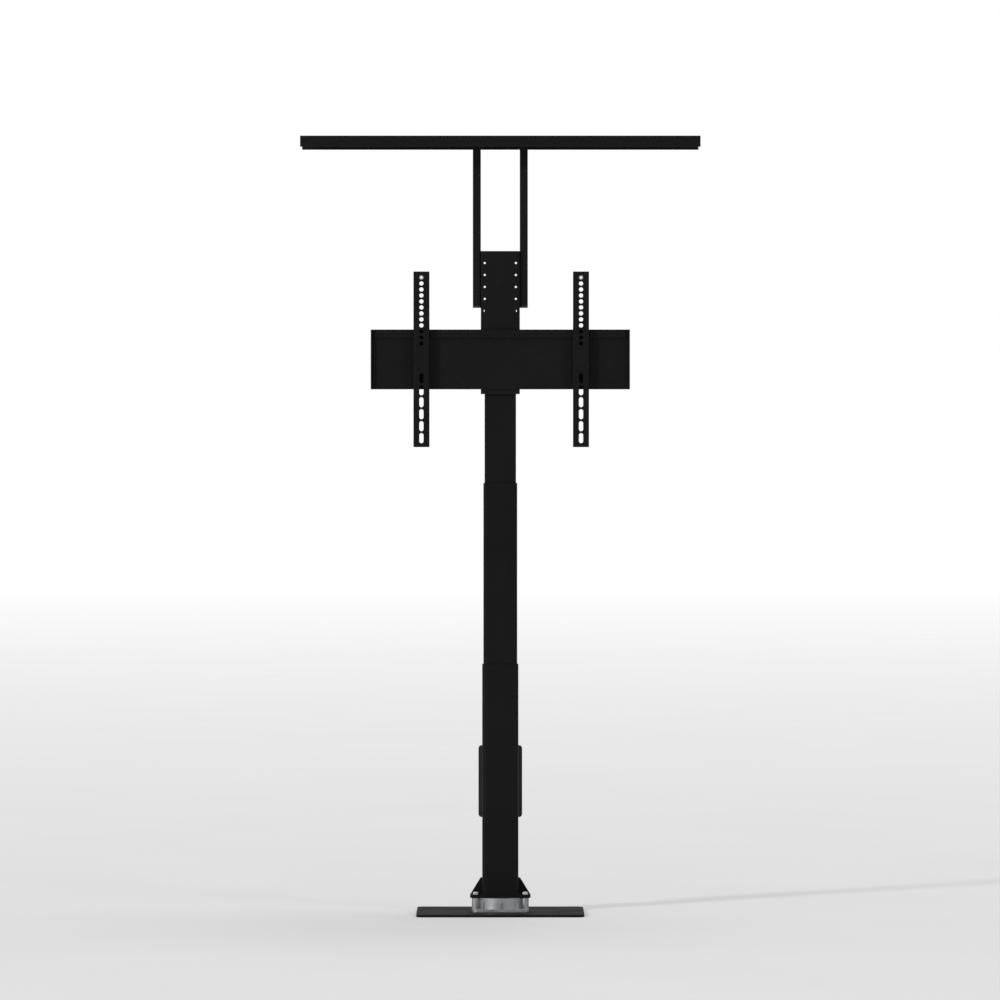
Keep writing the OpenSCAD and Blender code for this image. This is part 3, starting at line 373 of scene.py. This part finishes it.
def turned_bronze():
    finish = Finish("turned_bronze", metallic=1.0)
    lines = finish.noise(2 * MM, detail=4, stretch=(0.05, 0.05, 5))
    stain = finish.noise(12 * MM, detail=4)
    metal = finish.blend(finish.span(lines, 0, 1), (0.46, 0.30, 0.12), (0.56, 0.38, 0.16))
    finish.colour(finish.blend(finish.span(stain, 0, 0.4), metal, (0.25, 0.15, 0.07)))
    finish.roughness(finish.span(stain, 0.28, 0.44))
    finish.bump(lines, 0.01 * MM)
    return finish.material


def solder_mask():
    """Green circuit board with paler tracks under the mask."""
    finish = Finish("solder_mask", specular=0.5)
    tracks = finish.cells(7 * MM, stretch=(1, 0.2, 0.5))
    mask = finish.blend(finish.span(tracks, 0, 1, 0.45, 0.5), (0.022, 0.090, 0.040), (0.045, 0.150, 0.070))
    finish.colour(mask)
    finish.roughness(finish.span(finish.noise(10 * MM), 0.30, 0.42))
    finish.bump(tracks, 0.03 * MM)
    return finish.material


def studio_paper():
    """Pale floor that fades into the white surroundings."""
    finish = Finish("studio_paper", specular=0.2)
    finish.colour(finish.blend(finish.noise(0.6, detail=3), grey(0.78), grey(0.82)))
    finish.roughness(finish.span(finish.noise(0.05), 0.7, 0.8))
    distance = finish.nodes.new("ShaderNodeVectorMath")
    distance.operation = "LENGTH"
    finish.links.new(finish.place, distance.inputs[0])
    glow = finish.span(distance.outputs["Value"], 0, FLOOR_GLOW, *FLOOR_FADE)
    finish.shader.inputs["Emission Color"].default_value = (1, 1, 1, 1)
    finish.links.new(glow, finish.shader.inputs["Emission Strength"])
    return finish.material


FINISHES = {
    "black_coat": powder_coat(),
    "black_screws": black_oxide(),
    "motor_black": motor_lacquer(),
    "black_plastic": moulded_plastic(),
    "nylon": nylon(),
    "cast_aluminium": cast_aluminium(),
    "zinc": zinc_plate(),
    "steel": ground_steel(),
    "bronze": turned_bronze(),
    "circuit_board": solder_mask(),
}
TUBES = ("base_tube", "mid_tube", "top_tube")
TUBE_FINISH = tube_coat()

# Width of the rounded edges of each node, in millimetres
EDGE_WIDTHS = {
    "base_plate": 0.8, "column_foot": 0.6, "base_tube": 0.3, "mid_tube": 0.3, "top_tube": 0.3,
    "carrier_bracket": 0.3, "mount_panel": 0.2, "hook_rail": 0.6, "head_saddle": 0.3,
    "left_arm": 0.3, "right_arm": 0.3, "left_lock_bar": 0.4, "right_lock_bar": 0.4,
    "left_post": 0.3, "right_post": 0.3, "top_tray": 0.3, "post_nuts": 0.4, "drive_gear": 0.3,
    "base_glide": 0.3, "mid_glide": 0.3, "mid_foot_glide": 0.3, "top_foot_glide": 0.3,
    "control_sockets": 0.3, "mid_nut": 0.4, "top_nut": 0.4, "screw_coupler": 0.3,
    "lower_bearing": 0.3, "mid_bearing": 0.2,
}
EDGE_ANGLE = math.radians(55)
EDGE_SEGMENTS = 2
FLAT_ANGLE = math.radians(0.1)


def dress_nodes():
    """Gives every CAD node its finish, and rounds the edges of some once their flat faces are whole."""
    for name, node in NODES.items():
        node.data.materials.clear()
        node.data.materials.append(TUBE_FINISH if name in TUBES else FINISHES[SLOT_OF[name]])
        if name not in EDGE_WIDTHS:
            continue
        weld = node.modifiers.new("merge", "WELD")
        weld.merge_threshold = MERGE
        join = node.modifiers.new("join", "DECIMATE")
        join.decimate_type = "DISSOLVE"
        join.angle_limit = FLAT_ANGLE
        edge = node.modifiers.new("edge", "BEVEL")
        edge.width = EDGE_WIDTHS[name] * MM
        edge.segments = EDGE_SEGMENTS
        edge.limit_method = "ANGLE"
        edge.angle_limit = EDGE_ANGLE
        shade = node.modifiers.new("shade", "WEIGHTED_NORMAL")
        shade.keep_sharp = True


# Mesh tools


def solids(node):
    """Lowest and highest corner of each separate solid of a node."""
    mesh = bmesh.new()
    mesh.from_mesh(NODES[node].data)
    bmesh.ops.remove_doubles(mesh, verts=mesh.verts, dist=MERGE)
    left = set(mesh.verts)
    found = []
    while left:
        seed = left.pop()
        solid, front = [seed], [seed]
        while front:
            near = [edge.other_vert(vert) for vert in front for edge in vert.link_edges]
            front = [vert for vert in dict.fromkeys(near) if vert in left]
            left.difference_update(front)
            solid += front
        corners = [[pick(vert.co[axis] for vert in solid) for axis in range(3)] for pick in (min, max)]
        found.append((Vector(corners[0]), Vector(corners[1])))
    mesh.free()
    return sorted(found, key=lambda box: tuple(box[0]))


def add_piece(name, mesh, body, slot, replaces=()):
    """Turns a finished mesh into a piece that rides on a body."""
    bmesh.ops.recalc_face_normals(mesh, faces=mesh.faces)
    data = bpy.data.meshes.new(name)
    mesh.to_mesh(data)
    mesh.free()
    for face in data.polygons:
        face.use_smooth = True
    data.set_sharp_from_angle(angle=SHARP_ANGLE)
    data.materials.append(FINISHES[slot])
    piece = bpy.data.objects.new(name, data)
    scene.collection.objects.link(piece)
    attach(piece, body)
    if replaces:
        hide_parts(*replaces)


def turned(mesh, place, rows, segments=48, ring=False):
    """Adds a form turned about z from rows of radius and height, each a number or a function of the angle."""
    loops = []
    for radius, height in rows:
        points = []
        for i in range(1 if radius == 0 else segments):
            angle = 2 * math.pi * i / segments
            r = radius(angle) if callable(radius) else radius
            h = height(angle) if callable(height) else height
            points.append(mesh.verts.new(place @ Vector((r * math.cos(angle), r * math.sin(angle), h))))
        loops.append(points)
    pairs = list(zip(loops, loops[1:]))
    if ring:
        pairs.append((loops[-1], loops[0]))
    for low, high in pairs:
        for i in range(segments):
            j = (i + 1) % segments
            corners = [low[i % len(low)], low[j % len(low)], high[j % len(high)], high[i % len(high)]]
            mesh.faces.new(dict.fromkeys(corners))


def hexagon(across_flats):
    """Radius of a hexagon as a function of the angle."""
    sixth = math.pi / 3
    return lambda angle: across_flats / 2 / math.cos((angle + sixth / 2) % sixth - sixth / 2)


def along(axis, origin):
    """Places a form turned about z so that its z axis points along an axis."""
    return Matrix.Translation(origin) @ Vector(axis).to_track_quat("Z", "Y").to_matrix().to_4x4()


ARC_STEPS_LEAST = 4
STRAIGHT_STEPS_LEAST = 2


def rounded_outline(width, depth, radius, step):
    """Points round a rectangle with round corners, centred, about one step apart."""
    arc_steps = max(ARC_STEPS_LEAST, round(radius * math.pi / 2 / step))
    arcs = []
    for quarter, (sx, sy) in enumerate(((1, 1), (-1, 1), (-1, -1), (1, -1))):
        centre = Vector((sx * (width / 2 - radius), sy * (depth / 2 - radius)))
        angles = [(quarter + i / arc_steps) * math.pi / 2 for i in range(arc_steps + 1)]
        arcs.append([centre + radius * Vector((math.cos(angle), math.sin(angle))) for angle in angles])
    points = []
    for arc, following in zip(arcs, arcs[1:] + arcs[:1]):
        points += arc + line_points(arc[-1], following[0], step)[1:-1]
    return points


def line_points(start, end, step):
    """Points from start to end, about one step apart."""
    start, end = Vector(start), Vector(end)
    steps = max(STRAIGHT_STEPS_LEAST, round((end - start).length / step))
    return [start.lerp(end, i / steps) for i in range(steps + 1)]


# Fasteners

BOLT = {
    "flats": 13 * MM, "head": 5.3 * MM, "washer": 1.6 * MM, "shank": 8 * MM,
    "edge": 0.3 * MM, "play": 0.2 * MM, "face": 0.4 * MM, "lower_edge": 0.2 * MM,
    "crown_share": 0.475, "chamfer_slope": math.tan(math.radians(30)), "least_chamfer": 0.15 * MM,
    "dish_rim": 0.5 * MM, "dish": 0.25 * MM,
}
BUTTON = {
    "head": 11 * MM, "height": 3.3 * MM, "shank": 6 * MM, "side_share": 0.25, "dome_steps": 6,
    "key": 4 * MM, "key_depth": 2 * MM, "key_tip": 0.4 * MM, "rim": 0.3 * MM, "edge": 0.15 * MM,
}


def add_foot_bolts():
    """Hexagon bolts with chamfered heads, each on a washer."""
    mesh = bmesh.new()
    corner = hexagon(BOLT["flats"])
    crown = BOLT["crown_share"] * BOLT["flats"]
    shank, edge, thick, dish = BOLT["shank"] / 2, BOLT["edge"], BOLT["washer"], BOLT["dish"]
    under, top = thick + BOLT["face"], thick + BOLT["head"]

    def chamfer(angle):
        return top - max(BOLT["least_chamfer"], (corner(angle) - crown) * BOLT["chamfer_slope"])

    for low, high in solids("foot_bolts"):
        seat = high.z - BOLT["head"] - BOLT["washer"]
        tip = low.z - seat
        place = Matrix.Translation(((low.x + high.x) / 2, (low.y + high.y) / 2, seat))
        outer, inner = (high.x - low.x) / 2, shank + BOLT["play"]
        turned(mesh, place, [
            (inner, 0), (outer - edge, 0), (outer, edge), (outer, thick - edge), (outer - edge, thick),
            (inner + edge, thick), (inner, thick - edge),
        ], ring=True)
        turned(mesh, place, [
            (0, tip), (shank - edge, tip), (shank, tip + edge), (shank, thick),
            (crown, thick), (crown, under),
            (lambda angle: corner(angle) - BOLT["lower_edge"], under), (corner, under + BOLT["lower_edge"]),
            (corner, chamfer), (crown, top), (crown - BOLT["dish_rim"], top - dish), (0, top - dish),
        ])
    add_piece("hex_foot_bolts", mesh, "base", "zinc", ["foot_bolts"])


def button_head(mesh, place, shank_len):
    """Domed screw head with a hexagon socket, its seat at z = 0 and its shank below."""
    radius, height, shank = BUTTON["head"] / 2, BUTTON["height"], BUTTON["shank"] / 2
    rim, edge, socket = BUTTON["rim"], BUTTON["edge"], hexagon(BUTTON["key"])
    side = BUTTON["side_share"] * height
    last = math.acos((socket(math.pi / 6) + 2 * rim) / radius)
    dome = []
    for i in range(BUTTON["dome_steps"] + 1):
        angle = last * i / BUTTON["dome_steps"]
        dome.append((radius * math.cos(angle), side + (height - side) * math.sin(angle) / math.sin(last)))
    floor = height - BUTTON["key_depth"]
    turned(mesh, place, [
        (0, -shank_len), (shank - rim, -shank_len), (shank, rim - shank_len), (shank, 0),
        (radius - edge, 0), (radius, edge), *dome,
        (lambda angle: socket(angle) + rim, height), (socket, height - rim),
        (socket, floor), (0, floor - BUTTON["key_tip"]),
    ])


def add_post_screws():
    """Button screws that reach outwards from the saddle into the posts."""
    mesh = bmesh.new()
    for low, high in solids("post_screws"):
        side = math.copysign(1, low.x + high.x)
        crown, tip = sorted((low.x, high.x), key=abs)
        seat = crown + side * BUTTON["height"]
        origin = (seat, (low.y + high.y) / 2, (low.z + high.z) / 2)
        button_head(mesh, along((-side, 0, 0), origin), abs(seat - tip))
    add_piece("button_post_screws", mesh, "top_stage", "black_screws", ["post_screws"])


# Clamping screws of the arms

KNOB = {
    "height": 10 * MM, "lobes": 10, "lobe_depth": 1.3 * MM, "columns": 120,
    "edge": 1.6 * MM, "lower_steps": 3, "upper_steps": 4,
    "hub": 5 * MM, "hub_edge": 0.6 * MM, "dish": 0.7 * MM, "dish_rim": 0.62, "dish_floor": 0.55,
}
STUD = {
    "outer": 6 * MM, "pitch": 1 * MM, "depth": 0.61 * MM, "chamfer": 0.8 * MM, "flank_gain": 1.25,
    "rows_per_pitch": 6, "columns": 24, "in_grip": 1 * MM,
}


def threaded_stud(mesh, place, length):
    """Adds a threaded rod from z = 0 to its length, with chamfered ends."""
    crest, pitch, chamfer = STUD["outer"] / 2, STUD["pitch"], STUD["chamfer"]
    root = crest - STUD["depth"]
    threaded = length - 2 * chamfer
    steps = round(threaded / pitch * STUD["rows_per_pitch"])

    def ridge(height):
        def radius(angle):
            phase = (height / pitch - angle / (2 * math.pi)) % 1.0
            return root + (crest - root) * min(1.0, STUD["flank_gain"] * (1 - abs(2 * phase - 1)))
        return radius

    rows = [(0, 0), (crest - chamfer, 0)]
    for i in range(steps + 1):
        height = chamfer + threaded * i / steps
        rows.append((ridge(height), height))
    rows += [(crest - chamfer, length), (0, length)]
    turned(mesh, place, rows, segments=STUD["columns"])


def lobed(radius):
    """Radius of a grip with round lobes as a function of the angle."""
    def at(angle):
        wave = abs(math.sin(KNOB["lobes"] * angle / 2))
        return radius - KNOB["lobe_depth"] * (1 - wave)
    return at


def knob_rows(radius):
    """Rows of a grip from its hub round its edges to the dish in its top."""
    edge, top, start = KNOB["edge"], KNOB["height"], KNOB["hub_edge"]
    rows = [(0, 0), (KNOB["hub"], 0), (KNOB["hub"] + start, start)]
    for i in range(KNOB["lower_steps"] + 1):
        angle = math.pi / 2 * i / KNOB["lower_steps"]
        rows.append((lobed(radius - edge * (1 - math.sin(angle))), start + edge * (1 - math.cos(angle))))
    for i in range(KNOB["upper_steps"] + 1):
        angle = math.pi / 2 * i / KNOB["upper_steps"]
        rows.append((lobed(radius - edge * (1 - math.cos(angle))), top - edge + edge * math.sin(angle)))
    floor = top - KNOB["dish"]
    return rows + [(radius * KNOB["dish_rim"], top), (radius * KNOB["dish_floor"], floor), (0, floor)]


def add_lock_screw(side):
    """Threaded stud with a lobed plastic grip."""
    low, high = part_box(f"{side}_lock_screw")
    middle_x, middle_z = (low.x + high.x) / 2, (low.z + high.z) / 2
    base = high.y - KNOB["height"]
    grip = bmesh.new()
    rows = knob_rows((high.x - low.x) / 2)
    turned(grip, along((0, 1, 0), (middle_x, base, middle_z)), rows, segments=KNOB["columns"])
    add_piece(f"{side}_lock_knob", grip, f"lock_{side}", "black_plastic", [f"{side}_lock_screw"])
    stud = bmesh.new()
    threaded_stud(stud, along((0, 1, 0), (middle_x, low.y, middle_z)), base - low.y + STUD["in_grip"])
    add_piece(f"{side}_lock_stud", stud, f"lock_{side}", "zinc")


# Drive screws: a journal, then a thread of six starts

LEAD = {"rise": 18 * MM, "columns": 24, "rows_per_pitch": 4, "depth": 1.5 * MM, "chamfer": 1 * MM}
JOURNAL = {"lower": 7.45 * MM, "upper": 12.45 * MM, "chamfer": 0.5 * MM}
SHOULDER = {"lower": 39.2 * MM, "upper": 526.2 * MM}
UPPER_BORE = 11 * MM
KEYWAY = {"half": 2.3 * MM, "floor": 6.8 * MM, "start": 43.2 * MM}


def section(radii):
    """Points of a screw's cross-section, from its radius at each column."""
    step = 2 * math.pi / len(radii)
    return [Vector((r * math.cos(step * i), r * math.sin(step * i))) for i, r in enumerate(radii)]


def round_section(radius):
    return section([radius] * LEAD["columns"])


def thread_sections(outer, bottom, top):
    """Sections of a right-handed thread and their heights, each the rise of one column above the last."""
    columns, root, pitch = LEAD["columns"], outer - LEAD["depth"], LEAD["rows_per_pitch"]
    count = round((top - bottom) / LEAD["rise"] * columns)
    for row in range(count + 1):
        crest = outer - LEAD["chamfer"] if row in (0, count) else outer
        radii = [crest if (row - column) % pitch < pitch / 2 else root for column in range(columns)]
        yield section(radii), bottom + (top - bottom) * row / count


def screw_sections(stage, low, high):
    """Sections of a whole screw and their heights."""
    journal, chamfer, shoulder = JOURNAL[stage], JOURNAL["chamfer"], SHOULDER[stage]
    plain = [(journal - chamfer, low.z), (journal, low.z + chamfer), (journal, shoulder)]
    thread = thread_sections((high.x - low.x) / 2, shoulder, high.z)
    return [(round_section(radius), height) for radius, height in plain] + list(thread)


def with_keyway(points, height):
    """Makes the first point of a section two, which are the corners of the keyway's floor where it is cut."""
    def level(point, y):
        return Vector((math.sqrt(point.length_squared - y * y), y))

    half, floor = KEYWAY["half"], KEYWAY["floor"]
    if height < KEYWAY["start"]:
        return [level(points[0], half / 2), *points[1:], level(points[0], -half / 2)]
    sides = [level(points[1], half), *points[2:-1], level(points[-1], -half)]
    return [Vector((floor, half)), *sides, Vector((floor, -half))]


def skin(mesh, sections, hollow=False):
    """Joins sections by triangles along the thread, and closes the ends, or the bore of a hollow screw."""
    loops = [[mesh.verts.new((*point, height)) for point in points] for points, height in sections]
    pairs = list(zip(loops, loops[1:]))
    if hollow:
        pairs.append((loops[-1], loops[0]))
    else:
        mesh.faces.new(reversed(loops[0]))
        mesh.faces.new(loops[-1])
    for low, high in pairs:
        for i in range(len(low)):
            j = (i + 1) % len(low)
            mesh.faces.new((low[i], low[j], high[j]))
            mesh.faces.new((low[i], high[j], high[i]))


def add_drive_screws():
    """Lower screw with its keyway, and the hollow upper screw."""
    lower = bmesh.new()
    sections = screw_sections("lower", *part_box("drive_screw"))
    skin(lower, [(with_keyway(points, height), height) for points, height in sections])
    add_piece("threaded_drive_screw", lower, "lower_screw", "steel", ["drive_screw"])
    upper = bmesh.new()
    low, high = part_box("hollow_screw")
    bore = round_section(UPPER_BORE)
    skin(upper, [(bore, low.z), *screw_sections("upper", low, high), (bore, high.z)], hollow=True)
    add_piece("threaded_hollow_screw", upper, "upper_screw", "steel", ["hollow_screw"])


# Welds under the coat

BEAD = {"step": 1.0 * MM, "pitch": 3.2 * MM, "ripple": 0.10, "sides": 10, "end_share": 0.55}
WELD_RADIUS = {"column": 2.5 * MM, "gusset": 1.9 * MM, "post": 1.8 * MM, "bar": 1.3 * MM}
WELD_SINK = 0.4
TUBE_CORNER = 11 * MM
FOOT_THICKNESS = 8 * MM
GUSSET_HALF = 3 * MM
GUSSET_TOE = 4 * MM
POST_CORNER = 2.5 * MM
BAR_WELD_INSET = 1 * MM


def bead(mesh, points, radius, closed=False):
    """Adds a weld bead with overlapping ripples along a line of points."""
    points = [Vector(point) for point in points]
    count, sides = len(points), BEAD["sides"]
    travelled = 0.0
    loops = []
    for i, point in enumerate(points):
        ahead = points[(i + 1) % count] if closed or i < count - 1 else point
        behind = points[i - 1] if closed or i > 0 else point
        travelled += (point - behind).length if i else 0.0
        wave = (travelled / BEAD["pitch"]) % 1.0
        size = radius * (1 - BEAD["ripple"] * wave)
        if not closed and i in (0, count - 1):
            size *= BEAD["end_share"]
        turn = (ahead - behind).to_track_quat("Z", "Y")
        ring = []
        for k in range(sides):
            angle = 2 * math.pi * k / sides
            offset = Vector((size * math.cos(angle), size * math.sin(angle), 0))
            ring.append(mesh.verts.new(point + turn @ offset))
        loops.append(ring)
    pairs = list(zip(loops, loops[1:]))
    if closed:
        pairs.append((loops[-1], loops[0]))
    else:
        mesh.faces.new(reversed(loops[0]))
        mesh.faces.new(loops[-1])
    for low, high in pairs:
        for k in range(sides):
            m = (k + 1) % sides
            mesh.faces.new((low[k], low[m], high[m], high[k]))


def stand_off(weld):
    """Distance of a bead's middle from each of the two faces that it joins."""
    return (1 - WELD_SINK) * WELD_RADIUS[weld]


def outline_around(low, high, corner, gap):
    """Points round an upright tube, at a gap from its walls."""
    middle = (low + high) / 2
    size = high - low
    points = rounded_outline(size.x + 2 * gap, size.y + 2 * gap, corner + gap, BEAD["step"])
    return [middle.xy + point for point in points]


def add_column_weld():
    """Bead round the base tube on its foot, and beads along the gussets."""
    tube_low, tube_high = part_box("base_tube")
    foot_low, foot_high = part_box("column_foot")
    seat = foot_low.z + FOOT_THICKNESS
    mesh = bmesh.new()
    gap = stand_off("column")
    outline = outline_around(tube_low, tube_high, TUBE_CORNER, gap)
    bead(mesh, [(x, y, seat + gap) for x, y in outline], WELD_RADIUS["column"], closed=True)
    gap = stand_off("gusset")
    for side, wall, end in ((-1, tube_low.x, foot_low.x), (1, tube_high.x, foot_high.x)):
        root = wall + side * gap
        for y in (-GUSSET_HALF - gap, GUSSET_HALF + gap):
            corner = (root, y, seat + gap)
            for far in ((root, y, foot_high.z - gap), (end - side * GUSSET_TOE, y, seat + gap)):
                bead(mesh, line_points(corner, far, BEAD["step"]), WELD_RADIUS["gusset"])
    add_piece("column_welds", mesh, "base", "black_coat")


def add_post_welds():
    """Beads that join the posts to the pads under the tray."""
    mesh = bmesh.new()
    gap = stand_off("post")
    for name in ("left_post", "right_post"):
        low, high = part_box(name)
        outline = outline_around(low, high, POST_CORNER, gap)
        bead(mesh, [(x, y, high.z - gap) for x, y in outline], WELD_RADIUS["post"], closed=True)
    add_piece("post_welds", mesh, "top_stage", "black_coat")


def add_bar_welds(side):
    """Beads that hold a lock bar between the cheeks of its arm."""
    low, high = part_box(f"{side}_lock_bar")
    bottom, top = low.z + BAR_WELD_INSET, high.z - BAR_WELD_INSET
    mesh = bmesh.new()
    for x in (low.x, high.x):
        bead(mesh, line_points((x, low.y, bottom), (x, low.y, top), BEAD["step"]), WELD_RADIUS["bar"])
    add_piece(f"{side}_bar_welds", mesh, f"arm_{side}", "black_coat")


add_camera()
light_surroundings()
add_lights()
add_floor(studio_paper())
dress_nodes()
add_foot_bolts()
add_post_screws()
for side in ("left", "right"):
    add_lock_screw(side)
    add_bar_welds(side)
add_drive_screws()
add_column_weld()
add_post_welds()

scene.view_settings.view_transform = "Standard"
